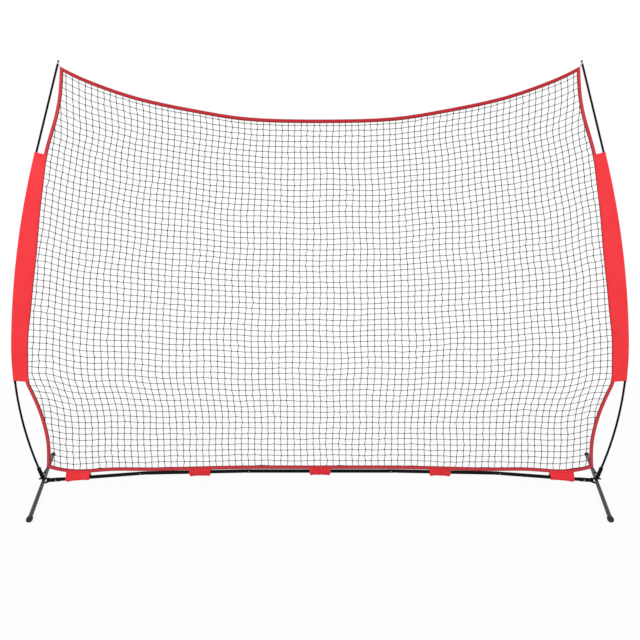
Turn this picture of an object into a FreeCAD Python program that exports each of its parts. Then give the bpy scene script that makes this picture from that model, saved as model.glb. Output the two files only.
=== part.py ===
import FreeCAD, Part
import math
import os

# A wide free-standing barrier net for ball games. Two bowed fibreglass poles stand in steel corner
# brackets, a five-piece steel bar joins the brackets along the ground, and a square-mesh net bound
# with red tape is stretched between them. Each bracket rides on a foot bar that swivels on one bolt.
#
# Frame: +X to the right as seen from the front, +Y to the back, +Z up. The origin is on the ground,
# half way between the two brackets, in the plane of the net. All sizes are in millimetres.

os.makedirs("parts", exist_ok=True)

Vector = FreeCAD.Vector
UP = Vector(0, 0, 1)
BACK = Vector(0, 1, 0)
FRONT = Vector(0, -1, 0)

# Longer than the whole object, for boxes that cut away all that lies on one side of a plane
FAR = 6000.0
# Steps of each search by halving, enough to end far below a thousandth of a millimetre
HALVINGS = 60

# How far a cutting shape runs past the face that it cuts
overshoot = 1.0

# Stance and base bar
hub_span = 3640.0
outer_tube_rise = 4.26
inner_tube_rise = 1.12
outer_joint_half_span = 1153.0
inner_joint_half_span = 494.0

# Foot bars
foot_length = 1230.0
foot_tube_diameter = 22.0
foot_tube_wall = 1.2
toe_in = 27.0
cap_diameter = 31.0
cap_length = 17.0
cap_end_thickness = 5.0
cap_edge_radius = 2.5
cap_flat_depth = 0.7

# Swivel bolt of each foot
bolt_diameter = 6.0
bolt_running_clearance = 0.05
bolt_head_diameter = 11.0
bolt_head_depth = 1.8
bolt_drive_radius = 2.0
bolt_drive_depth = 1.2
bolt_above_nut = 1.5
nut_across_flats = 10.0
nut_height = 3.2
nut_chamfer_angle = 30.0
# Turns the hexagon so that two of its flats face along the base bar
nut_turn = 30.0
spacer_diameter = 10.0
washer_diameter = 18.0
washer_thickness = 0.8
foot_side_play = 0.2
foot_swing = 40.0
swing_clearance = 1.2

# Corner bracket, its stub and its pole socket
bracket_width = 30.0
bracket_plate = 2.0
bracket_outboard = 31.0
bracket_corner_radius = 14.0
bracket_bend_radius = 4.0
stub_wall = 1.4
stub_length = 79.0
socket_wall = 1.5
socket_length = 75.0
socket_offset = 3.0
peg_diameter = 5.0
peg_above_plate = 37.0
peg_length = 19.5
peg_head_diameter = 10.0
peg_head_thickness = 2.5
bush_collar = 4.0
bush_depth = 60.0
bush_wall = 3.05
bush_edge_radius = 1.2

# Base tubes
base_tube_diameter = 22.0
base_tube_wall = 1.2
stub_end_gap = 3.0
neck_insertion = 56.0
neck_taper = 8.0
tube_end_gap = 1.0
slip_clearance = 0.1
neck_clearance = 0.15

# Spring buttons of the base bar
button_diameter = 6.0
button_hole_clearance = 0.1
button_proud = 2.5
button_flange_diameter = 8.4
button_flange_thickness = 0.9
button_flange_clearance = 0.25
button_dome = 1.2
button_from_stub_end = 22.0
button_from_neck_root = 28.0
spring_thickness = 0.6
spring_width = 6.0
spring_length = 26.0
spring_bend_length = 3.0
spring_bend_behind_axis = 0.3

# Poles
pole_diameter = 12.5
pole_bore = 6.5
pole_section_length = 695.0
pole_sections = 4
pole_start = 6.0
pole_lean = 23.5
lower_bow_radius = 2060.0
lower_bow_end = 0.8
upper_bow_radius = 5550.0
upper_bow_end = 13.6
pole_bush_clearance = 0.1
ferrule_length = 80.0
ferrule_wall = 1.2
ferrule_clearance = 0.05
shock_cord_diameter = 5.0
shock_cord_foot_gap = 10.0
tip_shank_length = 25.0
tip_shank_clearance = 0.1
tip_base = 2.0
tip_neck_diameter = 5.0
tip_neck_length = 12.5
tip_ball_diameter = 13.0
tip_ball_sink = 0.4

# Net and its binding tape
net_thickness = 1.6
net_strand = 6.0
net_columns = 20
net_rows = 14
tape_width = 23.0
tape_thickness = 0.7
tape_lap = 15.0
sewing_clearance = 0.05
lap_clearance = 0.3
top_corner_below_pole_end = 12.5
top_corner_gap = 17.5
bottom_corner_height = 99.0
bottom_corner_gap = 53.5
# Top edge: share of the half width, and how far below the corners the tape hangs there.
top_edge_drops = [
    (0.92, 69.0), (0.84, 124.0), (0.73, 188.0), (0.615, 238.0), (0.46, 290.0), (0.31, 331.0),
    (0.15, 348.0), (0.0, 351.0),
]
# Side edges: share of the way up from the bottom corner to the top one, and how far inboard of the
# pole the tape's outer edge runs there.
side_edge_gaps = [
    (0.96, 39.0), (0.93, 52.0), (0.873, 61.0), (0.812, 53.0), (0.764, 54.0), (0.72, 65.0),
    (0.64, 80.0), (0.58, 91.0), (0.52, 97.0), (0.465, 95.0), (0.383, 88.0), (0.32, 77.0),
    (0.28, 75.0), (0.24, 69.0), (0.21, 69.0), (0.187, 88.0), (0.16, 108.0), (0.133, 121.0),
    (0.1, 125.0), (0.064, 115.0), (0.031, 89.0),
]
# Bottom edge outside the bar's outer joints: share of the half span, and height.
bottom_edge_heights = [(0.917, 70.0), (0.874, 64.5), (0.77, 76.0)]
tape_above_bar = 2.0

# Side sleeves round the poles
sleeve_fabric = 0.8
sleeve_pocket_clearance = 1.0
sleeve_top_height = 2174.0
sleeve_bottom_height = 672.0
sleeve_top_fall = 15.0
sleeve_bottom_fall = 9.0

# Bottom tabs round the base bar
tab_fabric = 1.6
tab_bar_clearance = 0.8
tab_slack = 8.0
end_tab_from_pivot = 230.0
end_tab_width = 152.0
end_tab_overlap = 16.0
inner_tab_position = 788.0
inner_tab_width = 138.0
inner_tab_overlap = 13.0

# Elastic loops at the net's corners
top_loop_cord = 2.5
bottom_loop_cord = 5.5
loop_clearance = 0.3
corner_hole_inset = 9.0
corner_hole_clearance = 1.2

# Heights and places that follow from the sizes above
lean = math.radians(pole_lean)
swing = math.radians(foot_swing)
foot_radius = foot_tube_diameter / 2
axis_height = cap_diameter / 2 - cap_flat_depth
pivot_x = hub_span / 2
bracket_inside = foot_radius + foot_side_play + washer_thickness
bracket_outside = bracket_inside + bracket_plate
plate_top = axis_height + bracket_outside
swing_reach = foot_radius / math.cos(swing) + bracket_width / 2 * math.tan(swing)
bracket_inboard = swing_reach + swing_clearance + bracket_plate
base_radius = base_tube_diameter / 2
stub_bore = base_radius + slip_clearance
stub_radius = stub_bore + stub_wall
stub_reach = bracket_inboard + stub_length
base_bore = base_radius - base_tube_wall
neck_radius = base_bore - neck_clearance
neck_bore = neck_radius - base_tube_wall
pole_radius = pole_diameter / 2
bush_bore = pole_radius + pole_bush_clearance
bush_radius = bush_bore + bush_wall
socket_bore = bush_radius + slip_clearance
socket_radius = socket_bore + socket_wall
socket_half_width = socket_radius / math.cos(lean)
nut_corner = nut_across_flats / math.sqrt(3)
ferrule_bore = pole_radius + ferrule_clearance
ferrule_radius = ferrule_bore + ferrule_wall
sleeve_pocket_radius = ferrule_radius + sleeve_pocket_clearance
tape_half = net_thickness / 2 + tape_thickness
end_tab_position = pivot_x - end_tab_from_pivot


def save(node, shape):
    shape.exportStep("parts/" + node + ".step")


def cylinder(radius, start, end):
    return Part.makeCylinder(radius, start.distanceToPoint(end), start, end - start)


def tube(outer, inner, start, end):
    return cylinder(outer, start, end).cut(cylinder(inner, start, end))


def cone(radius_at_start, radius_at_end, start, end):
    return Part.makeCone(radius_at_start, radius_at_end, start.distanceToPoint(end), start, end - start)


def mirrored(shape):
    return shape.mirror(Vector(0, 0, 0), Vector(1, 0, 0))


def save_pair(name, shape):
    save(name + "_right", shape)
    save(name + "_left", mirrored(shape))


def save_both_sides_in_one(node, shape):
    save(node, Part.makeCompound(shape.Solids + mirrored(shape).Solids))


def flat_face(edges):
    return Part.Face(Part.Wire(Part.__sortEdges__(edges)))


def matches(one, other):
    return abs(one - other) < 0.001


def crossing(low, high, is_before):
    for step in range(HALVINGS):
        middle = (low + high) / 2
        if is_before(middle):
            low = middle
        else:
            high = middle
    return (low + high) / 2


def slab(face, half_thickness):
    moved = face.copy()
    moved.translate(Vector(0, -half_thickness, 0))
    return moved.extrude(Vector(0, 2 * half_thickness, 0))


# Foot bar: a straight tube on rubber end caps. It turns on the swivel bolt between the two plates of
# the corner bracket. It is built square to the base bar and then turned inward by the toe-in.
def turned_in(shape):
    shape.rotate(Vector(pivot_x, 0, 0), UP, -toe_in)
    return shape


def at_pivot(height):
    return Vector(pivot_x, 0, height)


def foot_bar():
    half = Vector(0, foot_length / 2, 0)
    centre = at_pivot(axis_height)
    bar = tube(foot_radius, foot_radius - foot_tube_wall, centre - half, centre + half)
    hole = cylinder(spacer_diameter / 2, at_pivot(0), at_pivot(2 * axis_height))
    return turned_in(bar.cut(hole))


def foot_cap(outward):
    end = at_pivot(axis_height) + outward * (foot_length / 2)
    closed_end = end + outward * cap_end_thickness
    mouth = closed_end - outward * cap_length
    body = cylinder(cap_diameter / 2, mouth, closed_end)
    rim = [e for e in body.Edges if e.Length > cap_diameter and matches(e.CenterOfMass.y, closed_end.y)]
    body = body.makeFillet(cap_edge_radius, rim)
    body = body.cut(cylinder(foot_radius, mouth, end))
    ground = Part.makeBox(FAR, FAR, FAR, Vector(-FAR / 2, -FAR / 2, -FAR))
    return turned_in(body.cut(ground))


def foot_spacer():
    bore = bolt_diameter / 2 + bolt_running_clearance
    bottom = at_pivot(axis_height - foot_radius)
    return tube(spacer_diameter / 2, bore, bottom, at_pivot(axis_height + foot_radius))


save_pair("foot_bar", foot_bar())
save_pair("foot_cap_front", foot_cap(FRONT))
save_pair("foot_cap_rear", foot_cap(BACK))
save_pair("foot_spacer", foot_spacer())


# Swivel bolt with its countersunk head flush in the lower plate, a thin lock nut on the upper plate,
# inside the foot of the pole socket, and a nylon washer on each side of the foot bar.
bolt_bottom = axis_height - bracket_outside
bolt_top = plate_top + nut_height + bolt_above_nut


def hexagon(corner_radius, bottom, height, turned):
    points = []
    for i in range(7):
        angle = math.radians(60 * i + turned)
        points.append(at_pivot(bottom) + Vector(math.cos(angle), math.sin(angle), 0) * corner_radius)
    return Part.Face(Part.makePolygon(points)).extrude(UP * height)


def countersunk_head():
    top = at_pivot(bolt_bottom + bolt_head_depth)
    return cone(bolt_head_diameter / 2, bolt_diameter / 2, at_pivot(bolt_bottom), top)


def swivel_bolt():
    shank = cylinder(bolt_diameter / 2, at_pivot(bolt_bottom), at_pivot(bolt_top))
    drive = hexagon(bolt_drive_radius, bolt_bottom, bolt_drive_depth, 0)
    return shank.fuse(countersunk_head()).removeSplitter().cut(drive)


def lock_nut():
    body = hexagon(nut_corner, plate_top, nut_height, nut_turn)
    half = nut_across_flats / 2
    spread = nut_height / math.tan(math.radians(nut_chamfer_angle))
    chamfer = cone(half + spread, half, at_pivot(plate_top), at_pivot(plate_top + nut_height))
    return body.common(chamfer).cut(cylinder(bolt_diameter / 2, at_pivot(0), at_pivot(bolt_top)))


def swivel_washers():
    bore = bolt_diameter / 2 + bolt_running_clearance
    rings = []
    for inner_face in [axis_height + foot_radius + foot_side_play, axis_height - bracket_inside]:
        outer_face = inner_face + washer_thickness
        rings.append(tube(washer_diameter / 2, bore, at_pivot(inner_face), at_pivot(outer_face)))
    return Part.makeCompound(rings)


save_both_sides_in_one("swivel_bolts", swivel_bolt())
save_both_sides_in_one("swivel_lock_nuts", lock_nut())
save_both_sides_in_one("swivel_washers", swivel_washers())


# Corner bracket: one steel strip bent to a U round the foot bar, with a stub tube for the base bar
# welded on the bend. The lower plate ends in a half round about the bolt.
bar_direction = Vector(-math.cos(math.radians(outer_tube_rise)), 0, math.sin(math.radians(outer_tube_rise)))


def along_bar(distance):
    return at_pivot(axis_height) + bar_direction * distance


def plain_box(start_x, end_x, half_height, half_width):
    return Part.makeBox(end_x - start_x, 2 * half_width, 2 * half_height,
                        Vector(start_x, -half_width, axis_height - half_height))


def bend_edges(box, x):
    return [e for e in box.Edges if matches(e.CenterOfMass.x, x) and matches(e.CenterOfMass.y, 0)]


def corner_bracket():
    inboard = pivot_x - bracket_inboard
    outboard = pivot_x + bracket_outboard
    half_width = bracket_width / 2
    outside = plain_box(inboard, outboard, bracket_outside, half_width)
    outside = outside.makeFillet(bracket_bend_radius, bend_edges(outside, inboard))
    corners = [e for e in outside.Edges
               if matches(e.CenterOfMass.x, outboard) and matches(e.CenterOfMass.z, axis_height)]
    outside = outside.makeFillet(bracket_corner_radius, corners)
    inside_end = inboard + bracket_plate
    inside = plain_box(inside_end, outboard + overshoot, bracket_inside, half_width + overshoot)
    inside = inside.makeFillet(bracket_bend_radius - bracket_plate, bend_edges(inside, inside_end))
    beyond_bolt = Part.makeBox(FAR, FAR, FAR, Vector(pivot_x, -FAR / 2, axis_height - FAR))
    half_round = cylinder(half_width, at_pivot(0), at_pivot(axis_height))
    strip = outside.cut(inside).cut(beyond_bolt.cut(half_round))
    bolt_hole = cylinder(bolt_diameter / 2, at_pivot(0), at_pivot(plate_top + overshoot))
    strip = strip.cut(bolt_hole).cut(countersunk_head())
    web = bracket_inboard - bracket_plate / 2
    stub = cylinder(stub_radius, along_bar(web), along_bar(stub_reach))
    hollow = cylinder(stub_bore, along_bar(bracket_inboard + overshoot), along_bar(stub_reach + overshoot))
    clear_of_bracket = plain_box(inside_end, pivot_x, bracket_inside, half_width)
    bracket = strip.fuse(stub).cut(hollow).cut(clear_of_bracket)
    return bracket.cut(button_hole(stub_reach - button_from_stub_end))


def button_hole(distance):
    centre = along_bar(distance)
    return cylinder(button_diameter / 2 + button_hole_clearance, centre, centre + FRONT * (2 * stub_radius))


save_pair("corner_bracket", corner_bracket())


# Pole socket: a short leaning tube welded on the upper plate round the lock nut, with a headed peg
# for the elastic.
lean_direction = Vector(math.sin(lean), 0, math.cos(lean))
socket_foot = Vector(pivot_x + socket_offset, 0, plate_top)


def along_socket(distance):
    return socket_foot + lean_direction * distance


peg_root = along_socket(peg_above_plate / math.cos(lean))
peg_start = peg_root + Vector(-socket_half_width, 0, 0)
peg_end = peg_start + Vector(-peg_length, 0, 0)


def pole_socket():
    below_plate = along_socket(-2 * socket_radius)
    outer = cylinder(socket_radius, below_plate, along_socket(socket_length))
    peg = cylinder(peg_diameter / 2, peg_root, peg_end)
    head = cylinder(peg_head_diameter / 2, peg_end, peg_end + Vector(-peg_head_thickness, 0, 0))
    bore = cylinder(socket_bore, below_plate, along_socket(socket_length + overshoot))
    below = Part.makeBox(FAR, FAR, FAR, Vector(0, -FAR / 2, plate_top - FAR))
    return outer.fuse([peg, head]).removeSplitter().cut(bore).cut(below)


def socket_bush():
    collar_top = along_socket(socket_length + bush_collar)
    collar = cylinder(socket_radius, along_socket(socket_length), collar_top)
    rim = [e for e in collar.Edges if matches(e.CenterOfMass.distanceToPoint(collar_top), 0)]
    collar = collar.makeFillet(bush_edge_radius, rim)
    liner = cylinder(bush_radius, along_socket(socket_length - bush_depth), along_socket(socket_length))
    hole = cylinder(bush_bore, along_socket(0), along_socket(socket_length + 2 * bush_collar))
    return collar.fuse(liner).removeSplitter().cut(hole)


save_pair("pole_socket", pole_socket())
save_both_sides_in_one("socket_bushes", socket_bush())


# Base bar: five tubes. The outer ones slide into the bracket stubs, and the ends of the two tubes
# beside the middle one are drawn down to necks that slide into their neighbours.
outer_joint = along_bar((pivot_x - outer_joint_half_span) / math.cos(math.radians(outer_tube_rise)))
inner_rise = math.radians(inner_tube_rise)
inner_direction = Vector(-math.cos(inner_rise), 0, math.sin(inner_rise))
inner_tube_length = (outer_joint_half_span - inner_joint_half_span) / math.cos(inner_rise)
inner_joint = outer_joint + inner_direction * inner_tube_length
middle_direction = Vector(-1, 0, 0)
outer_joint_distance = outer_joint.distanceToPoint(along_bar(0))


def outer_base_tube():
    start = along_bar(bracket_inboard + stub_end_gap)
    end = along_bar(outer_joint_distance - tube_end_gap)
    shape = tube(base_radius, base_bore, start, end)
    shape = shape.cut(button_hole(stub_reach - button_from_stub_end))
    return shape.cut(joint_button_hole(outer_joint, bar_direction * -1))


def joint_button_hole(joint, into_female):
    centre = joint + into_female * button_from_neck_root
    return cylinder(button_diameter / 2 + button_hole_clearance, centre, centre + FRONT * (2 * base_radius))


def necked_end(joint, into_female, into_body, wall_offset):
    tip = joint + into_female * neck_insertion
    shoulder = joint + into_body * neck_taper
    neck = cylinder(neck_radius - wall_offset, joint, tip)
    taper = cone(neck_radius - wall_offset, base_radius - wall_offset, joint, shoulder)
    ball = Part.makeSphere(neck_radius - wall_offset, joint)
    return neck.fuse([taper, ball])


def inner_base_tube():
    back = inner_direction * -1
    body_start = outer_joint + inner_direction * neck_taper
    body_end = inner_joint - inner_direction * neck_taper
    outside = cylinder(base_radius, body_start, body_end)
    outside = outside.fuse([necked_end(outer_joint, bar_direction * -1, inner_direction, 0.0),
                            necked_end(inner_joint, middle_direction, back, 0.0)])
    inside = cylinder(base_bore, body_start, body_end)
    inside = inside.fuse([necked_end(outer_joint, bar_direction * -1, inner_direction, base_tube_wall),
                          necked_end(inner_joint, middle_direction, back, base_tube_wall)])
    shape = outside.cut(inside)
    shape = shape.cut(joint_button_hole(outer_joint, bar_direction * -1))
    return shape.cut(joint_button_hole(inner_joint, middle_direction))


def middle_base_tube():
    end = inner_joint + middle_direction * tube_end_gap
    shape = tube(base_radius, base_bore, end, Vector(-end.x, 0, end.z))
    hole = joint_button_hole(inner_joint, middle_direction)
    return shape.cut(hole).cut(mirrored(hole))


save_pair("base_tube_outer", outer_base_tube())
save_pair("base_tube_inner", inner_base_tube())
save("base_tube_middle", middle_base_tube())


# Spring buttons: each is a domed pin on a bent leaf spring inside the inner tube of its joint.
def flange_depth(bore):
    return math.sqrt(bore ** 2 - (button_flange_diameter / 2) ** 2) - button_flange_clearance


def spring_button(centre, bore, outer_radius):
    depth = flange_depth(bore)
    tip = centre + FRONT * (outer_radius + button_proud)
    pin = cylinder(button_diameter / 2, centre + FRONT * (depth - button_flange_thickness), tip)
    rim = [e for e in pin.Edges if e.Length > button_diameter and matches(e.CenterOfMass.y, tip.y)]
    pin = pin.makeFillet(button_dome, rim)
    flange_back = centre + FRONT * (depth - button_flange_thickness)
    flange = cylinder(button_flange_diameter / 2, flange_back, centre + FRONT * depth)
    return pin.fuse(flange).removeSplitter()


def leaf_spring(centre, along, bore):
    seat = -(flange_depth(bore) - button_flange_thickness)
    back_wall = math.sqrt(bore ** 2 - (spring_width / 2) ** 2) - spring_thickness / 2
    half_pin = button_flange_diameter / 2
    bend = spring_bend_behind_axis
    outline = [
        (-half_pin, seat), (half_pin, seat), (spring_length, bend), (-half_pin, back_wall),
        (-half_pin, back_wall - spring_thickness), (spring_length - spring_bend_length, bend),
        (half_pin, seat + spring_thickness), (-half_pin, seat + spring_thickness), (-half_pin, seat),
    ]
    across = along.cross(BACK)
    across.normalize()
    points = [centre + along * a + BACK * b - across * (spring_width / 2) for a, b in outline]
    return Part.Face(Part.makePolygon(points)).extrude(across * spring_width)


button_places = [
    ("hub", along_bar(stub_reach - button_from_stub_end), bar_direction, base_bore, stub_radius),
    ("outer", outer_joint - bar_direction * button_from_neck_root, bar_direction, neck_bore, base_radius),
    ("inner", inner_joint + middle_direction * button_from_neck_root, middle_direction * -1, neck_bore,
     base_radius),
]
for place, centre, along, bore, outer_radius in button_places:
    save_pair("snap_button_" + place, spring_button(centre, bore, outer_radius))
    save_pair("snap_spring_" + place, leaf_spring(centre, along, bore))


# Pole: a straight foot in the socket, two tangent arcs and a straight top. path_starts holds the
# length along the pole at which each of the four begins, path_leans its lean there, and path_radii
# its bend radius, where 0 means straight.
lower_end_lean = -math.radians(lower_bow_end)
upper_end_lean = -math.radians(upper_bow_end)
lower_arc = lower_bow_radius * (lean - lower_end_lean)
upper_arc = upper_bow_radius * (lower_end_lean - upper_end_lean)
pole_end = pole_start + pole_sections * pole_section_length
bow_change = socket_length + lower_arc
path_starts = [0.0, socket_length, bow_change, bow_change + upper_arc, pole_end]
path_leans = [lean, lean, lower_end_lean, upper_end_lean, upper_end_lean]
path_radii = [0.0, lower_bow_radius, upper_bow_radius, 0.0]


def leaning(angle):
    return Vector(math.sin(angle), 0, math.cos(angle))


def pole_point(length):
    point = socket_foot
    for i in range(len(path_radii)):
        run = min(length, path_starts[i + 1]) - path_starts[i]
        if run <= 0:
            break
        start = path_leans[i]
        radius = path_radii[i]
        if radius:
            end = start - run / radius
            across = math.cos(end) - math.cos(start)
            point = point + Vector(across, 0, math.sin(start) - math.sin(end)) * radius
        else:
            end = start
            point = point + leaning(start) * run
    return point, end


def pole_length_at_height(height):
    return crossing(pole_start, pole_end, lambda length: pole_point(length)[0].z < height)


def pole_x(height):
    return pole_point(pole_length_at_height(height))[0].x


def bent_rod(radius, start, end):
    pieces = []
    for i in range(len(path_radii)):
        first = max(start, path_starts[i])
        last = min(end, path_starts[i + 1])
        if last <= first:
            continue
        point, angle = pole_point(first)
        if path_radii[i]:
            centre = point - Vector(math.cos(angle), 0, -math.sin(angle)) * path_radii[i]
            disc = Part.Face(Part.Wire(Part.makeCircle(radius, point, leaning(angle))))
            pieces.append(disc.revolve(centre, FRONT, math.degrees((last - first) / path_radii[i])))
        else:
            pieces.append(cylinder(radius, point, pole_point(last)[0]))
    rod = pieces[0]
    if len(pieces) > 1:
        rod = rod.fuse(pieces[1:]).removeSplitter()
    return rod


def bent_tube(outer, inner, start, end):
    return bent_rod(outer, start, end).cut(bent_rod(inner, start, end))


joints = [pole_start + pole_section_length * i for i in range(pole_sections + 1)]
for i in range(pole_sections):
    save_pair("pole_section_" + str(i + 1), bent_tube(pole_radius, pole_bore / 2, joints[i], joints[i + 1]))

ferrules = []
for joint in joints[1:-1]:
    half = ferrule_length / 2
    ferrules.append(bent_tube(ferrule_radius, ferrule_bore, joint - half, joint + half))
save_both_sides_in_one("pole_ferrules", Part.makeCompound(ferrules))

cord_start = pole_start + shock_cord_foot_gap
cord_end = pole_end - tip_shank_length
shock_cord = bent_rod(shock_cord_diameter / 2, cord_start, cord_end)
save_both_sides_in_one("pole_shock_cords", shock_cord)
plain_volume = math.pi * (shock_cord_diameter / 2) ** 2 * (cord_end - cord_start)
print("shock cord volume over section times length", shock_cord.Volume / plain_volume)

pole_top, top_lean = pole_point(pole_end)
top_direction = leaning(top_lean)


def pole_tip():
    base = pole_top + top_direction * tip_base
    neck_end = base + top_direction * tip_neck_length
    ball_centre = neck_end + top_direction * (tip_ball_diameter / 2 - tip_ball_sink)
    shank_end = pole_top - top_direction * tip_shank_length
    shank = cylinder(pole_bore / 2 - tip_shank_clearance, shank_end, pole_top)
    disc = cylinder(pole_radius, pole_top, base)
    neck = cylinder(tip_neck_diameter / 2, base, ball_centre)
    ball = Part.makeSphere(tip_ball_diameter / 2, ball_centre)
    return shank.fuse([disc, neck, ball]).removeSplitter()


save_pair("pole_tip", pole_tip())


# Net outline. Every edge curve is built at a stated inset from the tape's outer edge, so the tape,
# the pocket in it and the net all follow the same corners.
def base_axis_height(x):
    distance = abs(x)
    if distance > outer_joint_half_span:
        return outer_joint.z - (distance - outer_joint_half_span) * math.tan(math.radians(outer_tube_rise))
    if distance > inner_joint_half_span:
        return inner_joint.z - (distance - inner_joint_half_span) * math.tan(math.radians(inner_tube_rise))
    return inner_joint.z


def tape_bottom(x):
    return base_axis_height(x) + base_radius + tape_above_bar


top_corner_height = pole_top.z - top_corner_below_pole_end
top_corner = Vector(pole_x(top_corner_height) - top_corner_gap, 0, top_corner_height)
bottom_corner = Vector(pole_x(bottom_corner_height) - bottom_corner_gap, 0, bottom_corner_height)


def top_points():
    half = [top_corner]
    for share, drop in top_edge_drops:
        half.append(Vector(top_corner.x * share, 0, top_corner.z - drop))
    return half + [Vector(-p.x, 0, p.z) for p in reversed(half[:-1])]


def side_points():
    points = [top_corner]
    for share, gap in side_edge_gaps:
        height = bottom_corner.z + (top_corner.z - bottom_corner.z) * share
        points.append(Vector(pole_x(height) - gap, 0, height))
    return points + [bottom_corner]


def bottom_points():
    half = [bottom_corner]
    for share, height in bottom_edge_heights:
        half.append(Vector(pivot_x * share, 0, height))
    between_joints = (outer_joint_half_span + inner_joint_half_span) / 2
    for x in [outer_joint_half_span, between_joints, inner_joint_half_span, 0.0]:
        half.append(Vector(x, 0, tape_bottom(x)))
    return half + [Vector(-p.x, 0, p.z) for p in reversed(half[:-1])]


def unit(vector):
    return vector * (1 / vector.Length)


def corner_inset(corner, first_neighbour, second_neighbour, inset):
    first = unit(first_neighbour - corner)
    second = unit(second_neighbour - corner)
    return corner + (first + second) * (inset / first.cross(second).Length)


def inset_points(points, inset, inward, first_end, last_end):
    moved = [first_end]
    for before, point, after in zip(points, points[1:-1], points[2:]):
        normal = unit((after - before).cross(BACK)) * inward
        moved.append(point + normal * inset)
    return moved + [last_end]


def spline(points):
    curve = Part.BSplineCurve()
    curve.interpolate(points)
    return curve


def outline_curves(inset):
    top, side, bottom = top_points(), side_points(), bottom_points()
    upper = corner_inset(top_corner, top[1], side[1], inset)
    lower = corner_inset(bottom_corner, bottom[1], side[-2], inset)
    upper_left = Vector(-upper.x, 0, upper.z)
    lower_left = Vector(-lower.x, 0, lower.z)
    side_right = inset_points(side, inset, -1, upper, lower)
    return {
        "top": spline(inset_points(top, inset, 1, upper, upper_left)),
        "right": spline(side_right),
        "bottom": spline(inset_points(bottom, inset, -1, lower, lower_left)),
        "left": spline([Vector(-p.x, 0, p.z) for p in side_right]),
    }


def outline_face(inset):
    return flat_face([curve.toShape() for curve in outline_curves(inset).values()])


outer_curves = outline_curves(0.0)
inner_curves = outline_curves(tape_width)
net_edge = tape_width - tape_lap

top_hole = corner_inset(top_corner, top_points()[1], side_points()[1], corner_hole_inset)
bottom_hole = corner_inset(bottom_corner, bottom_points()[1], side_points()[-2], corner_hole_inset)


def corner_holes():
    holes = []
    for centre, cord in [(top_hole, top_loop_cord), (bottom_hole, bottom_loop_cord)]:
        reach = BACK * tape_width
        hole = cylinder(cord / 2 + corner_hole_clearance, centre - reach, centre + reach)
        holes += [hole, mirrored(hole)]
    return holes


# Net: one flat panel with large square gaps that stand for the fine mesh. Its strands fan out
# between the four edges.
def share_point(curve, share):
    first, last = curve.FirstParameter, curve.LastParameter
    return curve.value(first + (last - first) * share)


def net_point(across, up):
    top = share_point(inner_curves["top"], 1 - across)
    bottom = share_point(inner_curves["bottom"], 1 - across)
    left = share_point(inner_curves["left"], 1 - up)
    right = share_point(inner_curves["right"], 1 - up)
    top_left = share_point(inner_curves["top"], 1)
    top_right = share_point(inner_curves["top"], 0)
    bottom_left = share_point(inner_curves["bottom"], 1)
    bottom_right = share_point(inner_curves["bottom"], 0)
    edges = bottom * (1 - up) + top * up + left * (1 - across) + right * across
    corners = (bottom_left * (1 - across) + bottom_right * across) * (1 - up)
    corners = corners + (top_left * (1 - across) + top_right * across) * up
    return edges - corners


def net_panel():
    margin_across = net_strand / 2 / hub_span
    margin_up = net_strand / 2 / top_corner_height
    wires = [outline_face(net_edge).OuterWire]
    for column in range(net_columns):
        for row in range(net_rows):
            left = column / net_columns + (margin_across if column else 0)
            right = (column + 1) / net_columns - (margin_across if column < net_columns - 1 else 0)
            low = row / net_rows + (margin_up if row else 0)
            high = (row + 1) / net_rows - (margin_up if row < net_rows - 1 else 0)
            corners = [net_point(left, low), net_point(right, low)]
            corners += [net_point(right, high), net_point(left, high)]
            wires.append(Part.makePolygon(corners + [corners[0]]))
    face = Part.makeFace(wires, "Part::FaceMakerBullseye")
    return slab(face, net_thickness / 2).cut(Part.makeCompound(corner_holes()))


save("net_panel", net_panel())


# Binding: red tape folded over each edge of the net, mitred at the corners.
def tape_band(name):
    outer = outer_curves[name]
    inner = inner_curves[name]
    ends = [Part.makeLine(share_point(outer, share), share_point(inner, share)) for share in (0, 1)]
    return flat_face([outer.toShape(), inner.toShape()] + ends)


tape_pocket = slab(outline_face(net_edge - lap_clearance), net_thickness / 2 + sewing_clearance)


def binding(name):
    tape = slab(tape_band(name), tape_half).cut(tape_pocket)
    return tape.cut(Part.makeCompound(corner_holes()))


save("top_binding", binding("top"))
save("bottom_binding", binding("bottom"))
save("side_binding_right", binding("right"))
save("side_binding_left", binding("left"))


# Side sleeve: folded fabric with a round pocket for the pole and two flat layers sewn over the
# side binding.
def sleeve():
    start = pole_length_at_height(sleeve_bottom_height)
    end = pole_length_at_height(sleeve_top_height)
    pocket_outside = sleeve_pocket_radius + sleeve_fabric
    seam = inner_curves["right"]
    seam_top = seam_parameter(seam, sleeve_top_height - sleeve_top_fall)
    seam_bottom = seam_parameter(seam, sleeve_bottom_height - sleeve_bottom_fall)
    seam_edge = seam.toShape(seam_top, seam_bottom)
    mid_wall = sleeve_pocket_radius + sleeve_fabric / 2
    pole_side = [offset_pole_arc(start, bow_change, mid_wall), offset_pole_arc(bow_change, end, mid_wall)]
    top_line = Part.makeLine(seam.value(seam_top), pole_side[1].Vertexes[1].Point)
    bottom_line = Part.makeLine(seam.value(seam_bottom), pole_side[0].Vertexes[0].Point)
    flat = slab(flat_face([seam_edge, top_line, bottom_line] + pole_side), tape_half + sleeve_fabric)
    pocket = bent_rod(sleeve_pocket_radius, start - pocket_outside, end + pocket_outside)
    shape = flat.fuse(bent_rod(pocket_outside, start, end)).cut(pocket)
    return shape.cut(slab(tape_band("right"), tape_half + sewing_clearance))


def seam_parameter(seam, height):
    return crossing(seam.LastParameter, seam.FirstParameter, lambda place: seam.value(place).z < height)


def offset_pole_arc(start, end, inboard):
    points = []
    for length in [start, (start + end) / 2, end]:
        point, angle = pole_point(length)
        points.append(point - Vector(math.cos(angle), 0, -math.sin(angle)) * inboard)
    return Part.Arc(points[0], points[1], points[2]).toShape()


save_pair("side_sleeve", sleeve())


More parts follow.
